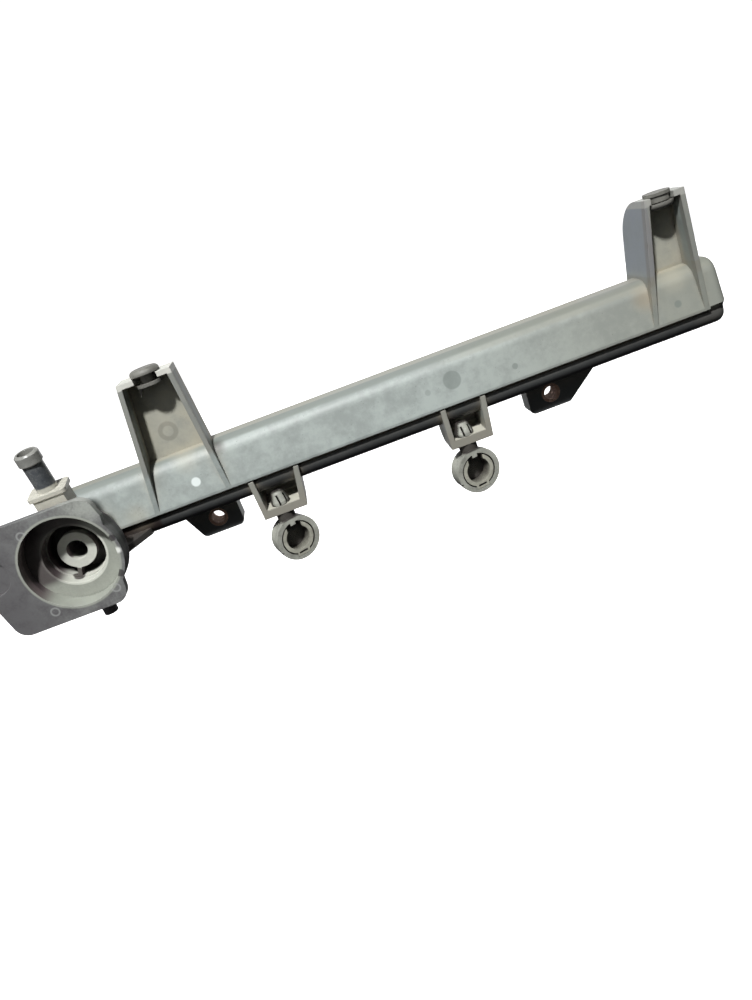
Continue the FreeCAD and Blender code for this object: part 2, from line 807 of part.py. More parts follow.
def build_seat():
    """Boss on the rail's face that the housing is welded to, with a web at its foot."""
    body = new_regulator_part("seat")
    boss = draw_circle(new_sketch(body, "boss", "front", "seat_front"), "seat_radius", ("0", "-seat_drop"))
    add_feature(body, "Pad", boss, "seat_front - rail_front + groove_depth + rail_wall", reverse=True)
    web = new_sketch(body, "web", "top", "-web_drop")
    root = "-rail_front + groove_depth + rail_wall"
    beside_neck = "sqrt(seat_radius ^ 2 - (web_drop - web_height - seat_drop) ^ 2) + web_gap"
    draw_outline(web, [
        (beside_neck, "-web_front"),
        ("web_front_reach", "-web_front"),
        ("web_rear_reach", "-rail_front + band_setback"),
        ("web_rear_reach", root),
        ("0", root),
        ("0", "-seat_front"),
        (beside_neck, "-seat_front"),
    ])
    add_feature(body, "Pad", web, "web_height")
    return body


def build_seat_core():
    """Hole through the seat into the channel."""
    body = new_regulator_part("seat_core")
    hole = new_sketch(body, "hole", "front", "seat_front")
    draw_circle(hole, "spigot_radius + spigot_fit", ("0", "-seat_drop"))
    add_feature(body, "Pad", hole, "seat_front - (rail_front + rail_back) / 2", reverse=True)
    return body


def build_housing_shell():
    """Stepped housing with its flange, bores and central tube."""
    body = new_regulator_part("housing_shell")
    profile = new_sketch(body, "profile", "side")
    draw_outline(profile, [
        ("-flange_front", "0"),
        ("-flange_front", "housing_radius"),
        ("-flange_front + housing_depth", "housing_radius"),
        ("-flange_front + housing_depth", "waist_radius"),
        ("-flange_front + waist_depth", "waist_radius"),
        ("-flange_front + waist_depth", "0"),
    ])
    spin(body, "Revolution", profile, "H_Axis")
    neck_centre = ("0", "-seat_drop")
    neck = draw_circle(new_sketch(body, "neck", "front", "seat_front"), "seat_radius", neck_centre)
    add_feature(body, "Pad", neck, "flange_front - waist_depth - seat_front")
    spigot = draw_circle(new_sketch(body, "spigot", "front", "seat_front"), "spigot_radius", neck_centre)
    add_feature(body, "Pad", spigot, "seat_front - rail_front + groove_depth + rail_wall", reverse=True)
    peg = draw_circle(new_sketch(body, "peg", "top", "-peg_reach"), "peg_radius", ("0", "-peg_forward"))
    add_feature(body, "Pad", peg, "peg_reach - waist_radius / 2")
    build_flange(body)
    front = "flange_front"
    seat = new_sketch(body, "bore_one", "front", front)
    add_feature(body, "Pocket", draw_circle(seat, "bore_one_radius"), "bore_one_depth")
    throat = new_sketch(body, "throat", "front", front)
    add_feature(body, "Pocket", draw_circle(throat, "bore_two_radius"), "tube_setback")
    well = new_sketch(body, "well", "front", front)
    draw_circle(well, "well_radius")
    draw_circle(well, "tube_radius")
    add_feature(body, "Pocket", well, "well_depth")
    web = new_sketch(body, "tube_web", "front", "flange_front - well_depth")
    inner = "(tube_radius + tube_bore) / 2"
    outer = "(well_radius + waist_radius) / 2"
    draw_outline(web, [
        ("-tube_web_slant * %s - tube_web / 2" % outer, "-" + outer),
        ("-tube_web_slant * %s + tube_web / 2" % outer, "-" + outer),
        ("-tube_web_slant * %s + tube_web / 2" % inner, "-" + inner),
        ("-tube_web_slant * %s - tube_web / 2" % inner, "-" + inner),
    ])
    add_feature(body, "Pad", web, "well_depth - tube_setback")
    passage = new_sketch(body, "tube_bore", "front", front)
    add_feature(body, "Pocket", draw_circle(passage, "tube_bore"), "inlet_depth")
    outlet = new_sketch(body, "neck_bore", "front", "flange_front - inlet_depth")
    add_feature(body, "Pocket", draw_circle(outlet, "tube_bore", neck_centre), "flange_front")
    return body


def build_flange(body):
    """Flange round the housing's mouth, with a screw seat in its left lobe."""
    plate = new_sketch(body, "flange", "front", "flange_front")
    draw_outline(plate, [
        ("flange_top_right", "flange_top"),
        ("flange_shoulder", "flange_shoulder_level"),
        ("flange_foot_right", "-flange_bottom"),
        ("-flange_foot_left", "-flange_bottom"),
        ("-flange_waist_left", "-flange_waist_level"),
        ("-lobe_left", "-lobe_low"),
        ("-lobe_left", "lobe_high"),
        ("-flange_top_left", "flange_top"),
    ])
    add_feature(body, "Pad", plate, "flange_thickness", reverse=True)
    round_edges(body, "flange_round", drawn_by(plate, [0, 2, 3]), "flange_round")
    round_edges(body, "lobe_round", drawn_by(plate, [5, 6, 7]), "lobe_round")
    place = ("-screw_x", "screw_level")
    seat = draw_circle(new_sketch(body, "screw_seat", "front", "flange_front"), "screw_seat_radius", place)
    add_feature(body, "Pocket", seat, "screw_seat_depth")
    hole = draw_circle(new_sketch(body, "screw_hole", "front", "flange_front"), "screw_bore", place)
    add_feature(body, "Pocket", hole, "flange_thickness")


def new_nipple_part(name):
    """Start a body on the nipple's axis, at the top of its collar, leaning forward."""
    return new_body(name, "regulator_x", "-nipple_forward", "regulator_level + nipple_rise",
                    FreeCAD.Vector(1, 0, 0), "nipple_lean")


def build_nipple_boss():
    """Boss on the housing that carries the nipple."""
    body = new_nipple_part("nipple_boss")
    block = new_sketch(body, "block", "top", "-boss_height")
    draw_box(block, ("-boss_width / 2", "-boss_length / 2"), ("boss_width / 2", "boss_length / 2"))
    add_feature(body, "Pad", block, "boss_height - collar_thickness")
    return body


def build_nipple_core():
    """Socket for the nipple's spigot, and the passage below it into the housing's well."""
    body = new_nipple_part("nipple_core")
    profile = new_sketch(body, "profile", "front")
    passage_end = "-nipple_rise + tube_radius + passage_gap"
    draw_outline(profile, [
        ("0", "-collar_thickness"),
        ("nipple_radius + socket_gap", "-collar_thickness"),
        ("nipple_radius + socket_gap", "-collar_thickness - socket_depth"),
        ("passage_radius", "-collar_thickness - socket_depth"),
        ("passage_radius", passage_end),
        ("0", passage_end),
    ])
    spin(body, "Revolution", profile, "V_Axis")
    return body


def build_nipple():
    """Hose nipple: a beaded tube, a collar plate and a grooved spigot."""
    body = new_nipple_part("hose_nipple")
    tip = "nipple_tube + bead_length"
    low = "-collar_thickness - ring_groove_drop"
    profile = new_sketch(body, "profile", "front")
    draw_outline(profile, [
        ("0", "-collar_thickness - socket_depth"),
        ("nipple_radius", "-collar_thickness - socket_depth"),
        ("nipple_radius", low),
        ("ring_groove_radius", low),
        ("ring_groove_radius", low + " + ring_groove_width"),
        ("nipple_radius", low + " + ring_groove_width"),
        ("nipple_radius", "nipple_tube"),
        ("bead_radius", "nipple_tube + bead_taper"),
        ("bead_radius", tip + " - bead_taper"),
        ("bead_radius - bead_taper", tip),
        ("0", tip),
    ])
    spin(body, "Revolution", profile, "V_Axis")
    plate = new_sketch(body, "collar", "top")
    draw_box(plate, ("-collar_width / 2", "-collar_length / 2"), ("collar_width / 2", "collar_length / 2"))
    add_feature(body, "Pad", plate, "collar_thickness", reverse=True)
    round_edges(body, "collar_round", drawn_by(plate, [0, 1, 2, 3]), "collar_round")
    mouth = draw_circle(new_sketch(body, "mouth", "top", tip), "nipple_mouth")
    add_feature(body, "Pocket", mouth, tip)
    bore = draw_circle(new_sketch(body, "bore", "top", tip), "nipple_bore")
    add_feature(body, "Pocket", bore, tip + " + collar_thickness + socket_depth")
    return body


def build_nipple_ring():
    """Sealing ring squeezed between the nipple's groove and its socket."""
    body = new_nipple_part("nipple_o_ring")
    section = new_sketch(body, "section", "front")
    middle = "-collar_thickness - ring_groove_drop + ring_groove_width / 2"
    socket = "nipple_radius + socket_gap"
    draw_circle(section, "(%s - ring_groove_radius) / 2" % socket,
                ("(%s + ring_groove_radius) / 2" % socket, middle))
    spin(body, "Revolution", section, "V_Axis")
    return body


# Assembly of the mouldings and the list of nodes

def build_rail():
    """The rail: tube, closed end, towers, brackets, ears, cups and seat, moulded as one."""
    cups, cup_cores = build_injector_cups()
    outside = [build_tube(), build_end_cap(), build_seat()]
    outside.append(build_tower("left", "tower_depth"))
    outside.append(build_tower("right", "tower_depth + hood_depth"))
    outside.extend(build_bracket(side) for side in ("left", "right"))
    outside.extend(build_ears())
    outside.extend(cups)
    cores = [build_channel(), build_seat_core()] + cup_cores
    return cut("rail_body", fuse("rail_outside", outside), fuse("rail_cores", cores))


def build_housing():
    """The regulator housing, moulded apart and welded to the rail's seat."""
    outside = fuse("housing_outside", [build_housing_shell(), build_nipple_boss()])
    return cut("regulator_housing", outside, build_nipple_core())


def build_nodes():
    """Build every separate piece of the fuel rail."""
    nodes = [build_rail(), build_end_plug(), build_housing(), build_nipple(), build_nipple_ring()]
    nodes.append(build_bush("left", "left_tower_top", "0"))
    nodes.append(build_bush("right", "right_tower_top - right_tower_plate", "180"))
    for side, x in (("left", "-ear_pitch / 2"), ("right", "ear_pitch / 2")):
        nodes.append(build_clip(side))
        nodes.append(build_liner(side))
        nodes.append(build_sleeve(side, x))
    return nodes


def check_model(nodes):
    """Stop if any object failed or any node isn't a sound solid."""
    for thing in DOC.Objects:
        if "Invalid" in thing.State or "Error" in thing.State:
            raise ValueError("Failed: " + thing.Name + " " + str(thing.State))
    for node in nodes:
        if node.Shape.isNull() or not node.Shape.isValid():
            raise ValueError("Not a sound shape: " + node.Label)
        if len(node.Shape.Solids) != 1:
            raise ValueError("Not one solid: " + node.Label)


def export_nodes(nodes):
    """Write each node's shape to a file of its own."""
    os.makedirs("parts", exist_ok=True)
    for node in nodes:
        node.Shape.exportStep("parts/%s.step" % node.Label)
        print(node.Label, round(node.Shape.Volume, 1))


NODES = build_nodes()
DOC.recompute()
check_model(NODES)
export_nodes(NODES)
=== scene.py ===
"""Fuel rail: the finishes of its pieces, its small marks, the studio round it and the camera.

Metres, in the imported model's own frame: +X runs along the rail to its closed end, +Y points to
the manifold and +Z is up. Every finish is worked out from places on the object itself.
"""
import json
import logging
import math
from abc import ABC, abstractmethod
from dataclasses import dataclass, replace
from enum import Enum
from typing import Any, Optional, Sequence, Union

import bpy
from mathutils import Matrix, Vector

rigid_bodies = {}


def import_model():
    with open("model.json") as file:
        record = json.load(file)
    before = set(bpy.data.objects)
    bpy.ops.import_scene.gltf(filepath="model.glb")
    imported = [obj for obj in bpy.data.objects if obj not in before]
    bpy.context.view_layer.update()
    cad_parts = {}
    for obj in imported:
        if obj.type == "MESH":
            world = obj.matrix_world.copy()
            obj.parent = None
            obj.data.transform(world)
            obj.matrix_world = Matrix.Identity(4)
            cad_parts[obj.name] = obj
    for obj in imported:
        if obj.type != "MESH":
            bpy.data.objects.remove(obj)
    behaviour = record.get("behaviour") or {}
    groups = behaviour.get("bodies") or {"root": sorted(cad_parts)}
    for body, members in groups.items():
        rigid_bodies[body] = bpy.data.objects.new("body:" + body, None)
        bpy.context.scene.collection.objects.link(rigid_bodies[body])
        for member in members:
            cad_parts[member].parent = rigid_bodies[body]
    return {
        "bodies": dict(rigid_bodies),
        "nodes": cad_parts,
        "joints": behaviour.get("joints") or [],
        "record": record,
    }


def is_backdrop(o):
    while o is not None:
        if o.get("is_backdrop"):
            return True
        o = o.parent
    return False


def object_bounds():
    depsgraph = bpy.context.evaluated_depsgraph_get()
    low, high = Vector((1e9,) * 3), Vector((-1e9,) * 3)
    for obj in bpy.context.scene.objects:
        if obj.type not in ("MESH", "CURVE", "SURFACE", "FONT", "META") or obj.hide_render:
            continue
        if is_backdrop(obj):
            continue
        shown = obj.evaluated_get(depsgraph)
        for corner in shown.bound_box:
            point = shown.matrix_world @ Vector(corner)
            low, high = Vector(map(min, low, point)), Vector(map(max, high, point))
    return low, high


LOG = logging.getLogger("fuel_rail")
MILLIMETRE = 0.001

REGULATOR_AXIS = Vector((-0.13275, 0.0, 0.0215))
ACROSS_THE_AXIS = (1.0, 0.0, 1.0)
# Bore walls that face this way take painted shade.
SHADED_WAY = (0.7, 0.0, -0.7)
LOOKS_PER_SPOT = 4

Colour = tuple[float, float, float]
Span = tuple[float, float]
Socket = bpy.types.NodeSocket
Value = Union[Socket, float, Colour, Vector]
Frame = dict[str, Any]


class Along(Enum):
    """What a zone's limit is measured by."""

    X = "X"
    Y = "Y"
    Z = "Z"
    UPWARD = "how far the surface faces upward"
    SHADED = "how far the surface faces down and to the right"
    REACH = "distance from the regulator's axis"


class Joining(Enum):
    """How two values are made into one."""

    ADD = "ADD"
    SUBTRACT = "SUBTRACT"
    MULTIPLY = "MULTIPLY"
    LARGER = "MAXIMUM"
    WITHOUT_SIGN = "ABSOLUTE"


def linear(red: int, green: int, blue: int) -> Colour:
    """Turn an 8-bit display colour into a linear one.

    Args:
        red: Red, from 0 to 255.
        green: Green, from 0 to 255.
        blue: Blue, from 0 to 255.

    Returns:
        The linear colour, each part from 0 to 1.
    """
    knee = 0.04045
    slope = 12.92
    offset = 0.055
    power = 2.4
    parts = []
    for part in (red, green, blue):
        share = part / 255.0
        parts.append(share / slope if share <= knee else ((share + offset) / (1.0 + offset)) ** power)
    return parts[0], parts[1], parts[2]


@dataclass(frozen=True)
class Ramp:
    """A smooth, clamped step: a value between low and high gives one between start and end."""

    low: float
    high: float
    start: float = 0.0
    end: float = 1.0


@dataclass(frozen=True)
class Noise:
    """Smooth noise: the width of its patches, its finer layers and how strong these are.

    Two noises of one size differ where their shifts do.
    """

    size: float
    detail: float
    rough: float
    shift: float = 0.0

    def times(self, width: float) -> "Noise":
        """Give the same noise with patches a number of times as wide."""
        return replace(self, size=self.size * width)


class Graph:
    """A material's node graph, written as short calls that return sockets.

    A mix node has its colour sockets under the same names as others, so they go by number here.
    """

    COLOUR_INPUTS = (0, 6, 7)
    COLOUR_OUTPUT = 2

    def __init__(self, name: str) -> None:
        """Start a material with a shader and its output.

        Args:
            name: Name of the material.
        """
        self.material = bpy.data.materials.new(name)
        self.material.use_nodes = True
        self.nodes = self.material.node_tree.nodes
        self.links = self.material.node_tree.links
        self.nodes.clear()
        self.shader = self.nodes.new("ShaderNodeBsdfPrincipled")
        output = self.nodes.new("ShaderNodeOutputMaterial")
        self.links.new(self.shader.outputs["BSDF"], output.inputs["Surface"])
        place = self.nodes.new("ShaderNodeTexCoord")
        self.place = place.outputs["Object"]
        self.facing = place.outputs["Normal"]

    def feed(self, socket: Socket, value: Value) -> None:
        """Link a socket, or set its own value.

        Args:
            socket: The socket.
            value: Another socket, a number, a colour or a vector.
        """
        if isinstance(value, bpy.types.NodeSocket):
            self.links.new(value, socket)
        elif socket.type == "RGBA":
            socket.default_value = (*value, 1.0)
        else:
            socket.default_value = value

    def surface(self, name: str, value: Value) -> None:
        """Feed one of the shader's own sockets, such as Roughness."""
        self.feed(self.shader.inputs[name], value)

    def vector_step(self, operation: str, *values: Value) -> bpy.types.Node:
        """Add a vector operation.

        Args:
            operation: Its name.
            values: What its sockets take, in order.

        Returns:
            The operation's node.
        """
        node = self.nodes.new("ShaderNodeVectorMath")
        node.operation = operation
        for socket, value in zip(node.inputs, values):
            self.feed(socket, value)
        return node

    def noise(self, noise: Noise) -> Socket:
        """Make smooth noise over the object.

        Args:
            noise: Its size and its finer layers.

        Returns:
            The noise, from 0 to 1.
        """
        node = self.nodes.new("ShaderNodeTexNoise")
        node.inputs["Scale"].default_value = 1.0 / noise.size
        node.inputs["Detail"].default_value = noise.detail
        node.inputs["Roughness"].default_value = noise.rough
        place = self.place
        if noise.shift:
            place = self.vector_step("ADD", place, (noise.shift,) * 3).outputs["Vector"]
        self.links.new(place, node.inputs["Vector"])
        return node.outputs["Fac"]

    def points(self, gap: float) -> Socket:
        """Measure how far a spot is from the nearest of many scattered points.

        Args:
            gap: How far apart the points are, in metres.

        Returns:
            The distance, in gaps.
        """
        node = self.nodes.new("ShaderNodeTexVoronoi")
        node.inputs["Scale"].default_value = 1.0 / gap
        self.links.new(self.place, node.inputs["Vector"])
        return node.outputs["Distance"]

    def ramp(self, value: Socket, ramp: Ramp) -> Socket:
        """Send a value up or down a ramp.

        Args:
            value: The value.
            ramp: The ramp.

        Returns:
            The ramp's height there.
        """
        node = self.nodes.new("ShaderNodeMapRange")
        node.interpolation_type = "SMOOTHSTEP"
        self.links.new(value, node.inputs["Value"])
        names = ("From Min", "From Max", "To Min", "To Max")
        for name, number in zip(names, (ramp.low, ramp.high, ramp.start, ramp.end)):
            node.inputs[name].default_value = number
        return node.outputs["Result"]

    def join(self, joining: Joining, first: Value, second: Value = 0.0) -> Socket:
        """Make two values into one.

        Args:
            joining: How.
            first: The first value.
            second: The second value, if there is one.

        Returns:
            The result.
        """
        node = self.nodes.new("ShaderNodeMath")
        node.operation = joining.value
        self.feed(node.inputs[0], first)
        self.feed(node.inputs[1], second)
        return node.outputs["Value"]

    def times(self, first: Value, second: Value) -> Socket:
        """Multiply two values."""
        return self.join(Joining.MULTIPLY, first, second)

    def minus(self, first: Value, second: Value) -> Socket:
        """Take the second value from the first."""
        return self.join(Joining.SUBTRACT, first, second)

    def larger(self, first: Value, second: Value) -> Socket:
        """Take the larger of two values."""
        return self.join(Joining.LARGER, first, second)

    def part_of(self, vector: Socket, axis: str) -> Socket:
        """Take one axis of a vector.

        Args:
            vector: The vector.
            axis: X, Y or Z.

        Returns:
            The number along the axis.
        """
        node = self.nodes.new("ShaderNodeSeparateXYZ")
        self.links.new(vector, node.inputs["Vector"])
        return node.outputs[axis]

    def blend(self, share: Value, first: Value, second: Value) -> Socket:
        """Mix two colours.

        Args:
            share: How much of the second colour is taken.
            first: The first colour.
            second: The second colour.

        Returns:
            The mixed colour.
        """
        node = self.nodes.new("ShaderNodeMix")
        node.data_type = "RGBA"
        for index, value in zip(self.COLOUR_INPUTS, (share, first, second)):
            self.feed(node.inputs[index], value)
        return node.outputs[self.COLOUR_OUTPUT]

    def openness(self, reach: float, alone: bool = True) -> Socket:
        """Measure how open a spot is, from 0 in a corner to 1 in the open.

        Args:
            reach: How far away a surface still counts.
            alone: Whether only the piece itself counts, and not its neighbours.

        Returns:
            The openness.
        """
        node = self.nodes.new("ShaderNodeAmbientOcclusion")
        node.samples = LOOKS_PER_SPOT
        node.only_local = alone
        node.inputs["Distance"].default_value = reach
        return node.outputs["AO"]

    def rounded(self, radius: float) -> Socket:
        """Find where the surface would face if its edges were rounded.

        Args:
            radius: Radius of the rounding.

        Returns:
            The direction.
        """
        node = self.nodes.new("ShaderNodeBevel")
        node.samples = LOOKS_PER_SPOT
        node.inputs["Radius"].default_value = radius
        return node.outputs["Normal"]

    def edge(self, radius: float, turn: float) -> Socket:
        """Find the edges, by how far a rounded surface would turn from the real one.

        Args:
            radius: Radius of the rounding.
            turn: How much of a turn makes a full edge.

        Returns:
            1 on an edge and 0 away from it.
        """
        geometry = self.nodes.new("ShaderNodeNewGeometry")
        match = self.vector_step("DOT_PRODUCT", self.rounded(radius), geometry.outputs["Normal"])
        return self.ramp(match.outputs["Value"], Ramp(1.0, 1.0 - turn))

    def measure(self, along: Along) -> Socket:
        """Measure a spot.

        Args:
            along: What it is measured by.

        Returns:
            The measure, in metres or as a share.
        """
        if along is Along.UPWARD:
            return self.part_of(self.facing, "Z")
        if along is Along.SHADED:
            return self.vector_step("DOT_PRODUCT", self.facing, SHADED_WAY).outputs["Value"]
        if along is Along.REACH:
            flat = self.vector_step("MULTIPLY_ADD", self.place, ACROSS_THE_AXIS, -REGULATOR_AXIS)
            return self.vector_step("LENGTH", flat.outputs["Vector"]).outputs["Value"]
        return self.part_of(self.place, along.value)

    def round_patch(self, centre: Vector, radius: float, soft: float) -> Socket:
        """Make a round patch about a place on the object.

        Args:
            centre: The place.
            radius: Radius of the patch.
            soft: Width of its soft rim, inside the radius.

        Returns:
            1 inside and 0 outside.
        """
        away = self.vector_step("DISTANCE", self.place, centre)
        return self.ramp(away.outputs["Value"], Ramp(radius, radius - soft))

    def relief(self, height: Socket, depth: float, rounding: float) -> None:
        """Raise the surface by a height field and soften its edges.

        Args:
            height: Height, from 0 to 1.
            depth: Depth of the relief, in metres.
            rounding: Radius that sharp edges seem to have, in metres.
        """
        bump = self.nodes.new("ShaderNodeBump")
        bump.inputs["Strength"].default_value = 1.0
        bump.inputs["Distance"].default_value = depth
        self.links.new(height, bump.inputs["Height"])
        self.links.new(self.rounded(rounding), bump.inputs["Normal"])
        self.surface("Normal", bump.outputs["Normal"])


@dataclass(frozen=True)
class Mark:
    """A round mark that the mould left, a stain, painted shade, a painted shadow or a painted glint, on a
    moulding.

    A mark with an inner radius is a ring.
    """

    centre: tuple[float, float, float]
    radius: float
    colour: Colour
    strength: float
    soft: float
    inner: float = 0.0

    def share(self, graph: Graph) -> Socket:
        """Work out how much of the mark's colour a spot takes.

        Args:
            graph: The material's graph.

        Returns:
            The share, from 0 to 1.
        """
        centre = Vector(self.centre)
        patch = graph.round_patch(centre, self.radius, self.soft)
        if self.inner:
            patch = graph.minus(patch, graph.round_patch(centre, self.inner, self.soft))
        return graph.times(patch, self.strength)


@dataclass(frozen=True)
class Limit:
    """A limit of a zone: nothing at the start and all of it at the full value."""

    along: Along
    start: float
    full: float

    def ramp(self) -> Ramp:
        """Write the limit as a ramp from its lower value to its higher one.

        Returns:
            The ramp, which falls where the full value is the lower one.
        """
        if self.full > self.start:
            return Ramp(self.start, self.full)
        return Ramp(self.full, self.start, 1.0, 0.0)


@dataclass(frozen=True)
class Zone:
    """A stretch of a moulding with a colour laid on it, where all its limits are met: a tone, dust or
    painted shade.
    """

    colour: Colour
    strength: float
    patchy: float
    limits: tuple[Limit, ...]
    patches: Span = (0.35, 0.65)

    def share(self, graph: Graph, noise: Socket) -> Socket:
        """Work out how much of the zone's colour a spot takes.

        Args:
            graph: The material's graph.
            noise: Noise from 0 to 1 that breaks the zone up.

        Returns:
            The share, from 0 to 1.
        """
        least = self.strength * (1.0 - self.patchy)
        whole = graph.ramp(noise, Ramp(*self.patches, least, self.strength))
        for limit in self.limits:
            whole = graph.times(whole, graph.ramp(graph.measure(limit.along), limit.ramp()))
        return whole


@dataclass(frozen=True)
class LipShelter:
    """The part of the rail under its lip, where hardly any dust settles.

    Dust still lies above the lip, in front of the band, on low floors and on side walls.
    """

    lip_level: float = 0.0146
    lip_fade: float = 0.0006
    under_lip: float = 0.12
    band_front: float = -0.0226
    band_fade: float = 0.0003
    floor_level: float = 0.0030
    floor_fade: float = 0.0010
    floor_facing: Ramp = Ramp(0.3, 0.6)
    side_facing: Ramp = Ramp(0.5, 0.8, 0.0, 0.8)

    def openness(self, graph: Graph) -> Socket:
        """Find where dust could settle.

        Args:
            graph: The material's graph.

        Returns:
            The share of the dust that lies there.
        """
        level = graph.part_of(graph.place, "Z")
        above = graph.ramp(level, Ramp(self.lip_level - self.lip_fade, self.lip_level, self.under_lip))
        depth = graph.part_of(graph.place, "Y")
        ahead = graph.ramp(depth, Ramp(self.band_front + self.band_fade, self.band_front))
        low = graph.ramp(level, Ramp(self.floor_level, self.floor_level + self.floor_fade, 1.0, 0.0))
        floor = graph.times(graph.ramp(graph.part_of(graph.facing, "Z"), self.floor_facing), low)
        sideways = graph.join(Joining.WITHOUT_SIGN, graph.part_of(graph.facing, "X"))
        side = graph.ramp(sideways, self.side_facing)
        return graph.larger(graph.larger(above, ahead), graph.larger(floor, side))


@dataclass(frozen=True)
class DustHabit:
    """How old dust lies on every moulding.

    The sizes of the broad and the fine noise are shares of the moulding's own patches.
    """

    broad: Noise = Noise(1.0, 5.0, 0.6)
    fine: Noise = Noise(0.14, 6.0, 0.65, 0.3)
    broad_share: float = 0.62
    fine_share: float = 0.38
    middle: float = 0.5
    sharpness: float = 0.8
    facing: Ramp = Ramp(-0.75, 0.1, 0.25, 1.0)
    wear_radius: float = 0.5 * MILLIMETRE
    wear_turn: float = 0.5
    speck_gap: float = 1.7 * MILLIMETRE
    speck_rim: Ramp = Ramp(0.16, 0.07)
    speck_field: Noise = Noise(5.0 * MILLIMETRE, 2.0, 0.5, 1.7)
    speck_pick: Ramp = Ramp(0.52, 0.62)
    speck_share: float = 0.35
    speck_depth: float = 0.8
    corner: Span = (0.5, 0.9)
    corner_break: Ramp = Ramp(0.3, 0.6, 0.35, 1.0)
    crevice_below: float = 0.2
    crevice_above: float = 0.1
    shine_spread: float = 0.1
    specular: float = 0.45
    grit: Noise = Noise(0.22 * MILLIMETRE, 3.0, 0.6, 2.1)


@dataclass(frozen=True)
class MouldedFinish:
    """Dark moulded plastic or rubber under old dust, with painted shade in its narrow gaps."""

    name: str
    bare: Colour
    dust: Colour
    grime: Colour
    cover: float
    contrast: float
    patch: float
    edge_dust: float
    roughness: float
    grain: float
    rounding: float
    grime_reach: float = 0.008
    grime_share: float = 0.5
    # Colour of the painted shade in narrow gaps.
    shade: Colour = (0.02, 0.016, 0.014)
    shade_reach: float = 0.003
    shade_open: float = 0.45
    shade_share: float = 0.5
    shade_alone: bool = True
    shelter: Optional[LipShelter] = None
    habit: DustHabit = DustHabit()
    zones: tuple[Zone, ...] = ()
    marks: tuple[Mark, ...] = ()

    def build(self) -> bpy.types.Material:
        """Make the material.

        Returns:
            The finished material.
        """
        habit = self.habit
        graph = Graph(self.name)
        fine = graph.noise(habit.fine.times(self.patch))
        broad = graph.times(graph.noise(habit.broad.times(self.patch)), habit.broad_share)
        mixed = graph.join(Joining.ADD, broad, graph.times(fine, habit.fine_share))
        dusty = self.settled(graph, mixed)
        specks = self.specks(graph)
        colour = graph.blend(dusty, self.bare, self.dust)
        colour = graph.blend(graph.times(specks, habit.speck_share), colour, self.bare)
        colour = graph.blend(self.corner_grime(graph, fine), colour, self.grime)
        for zone in self.zones:
            colour = graph.blend(zone.share(graph, mixed), colour, zone.colour)
        # Painted shade in narrow gaps, found by how open a spot is.
        colour = graph.blend(self.crevice_shade(graph), colour, self.shade)
        for mark in self.marks:
            colour = graph.blend(mark.share(graph), colour, mark.colour)
        spread = habit.shine_spread
        shine = Ramp(0.0, 1.0, self.roughness - spread, self.roughness + spread)
        graph.surface("Base Color", colour)
        graph.surface("Roughness", graph.ramp(dusty, shine))
        graph.surface("Specular IOR Level", habit.specular)
        height = graph.minus(graph.noise(habit.grit), graph.times(specks, habit.speck_depth))
        graph.relief(height, self.grain, self.rounding)
        return graph.material

    def settled(self, graph: Graph, mixed: Socket) -> Socket:
        """Work out how much dust lies on a spot.

        Args:
            graph: The material's graph.
            mixed: Noise from 0 to 1 that gives the dust its patches.

        Returns:
            The share of the dust's colour.
        """
        half = self.contrast / 2.0
        sharp = self.habit.sharpness * half
        low = self.habit.middle - sharp
        high = self.habit.middle + sharp
        dusty = graph.ramp(mixed, Ramp(low, high, self.cover - half, min(1.0, self.cover + half)))
        dusty = graph.times(dusty, graph.ramp(graph.part_of(graph.facing, "Z"), self.habit.facing))
        if self.shelter is not None:
            dusty = graph.times(dusty, self.shelter.openness(graph))
        worn = graph.edge(self.habit.wear_radius, self.habit.wear_turn)
        return graph.larger(dusty, graph.times(worn, self.edge_dust))

    def specks(self, graph: Graph) -> Socket:
        """Scatter specks where the dust has come off."""
        speck = graph.ramp(graph.points(self.habit.speck_gap), self.habit.speck_rim)
        return graph.times(speck, graph.ramp(graph.noise(self.habit.speck_field), self.habit.speck_pick))

    def corner_grime(self, graph: Graph, fine: Socket) -> Socket:
        """Work out how much grime has gathered in a corner.

        Args:
            graph: The material's graph.
            fine: Fine noise that breaks the grime up.

        Returns:
            The share of the grime's colour.
        """
        openness = graph.openness(self.grime_reach)
        corner = graph.ramp(openness, Ramp(*self.habit.corner, self.grime_share, 0.0))
        return graph.times(corner, graph.ramp(fine, self.habit.corner_break))

    def crevice_shade(self, graph: Graph) -> Socket:
        """Work out how much painted shade a narrow gap takes.

        Args:
            graph: The material's graph.

        Returns:
            The share of the shade's colour.
        """
        low = self.shade_open - self.habit.crevice_below
        high = self.shade_open + self.habit.crevice_above
        openness = graph.openness(self.shade_reach, self.shade_alone)
        return graph.ramp(openness, Ramp(low, high, self.shade_share, 0.0))


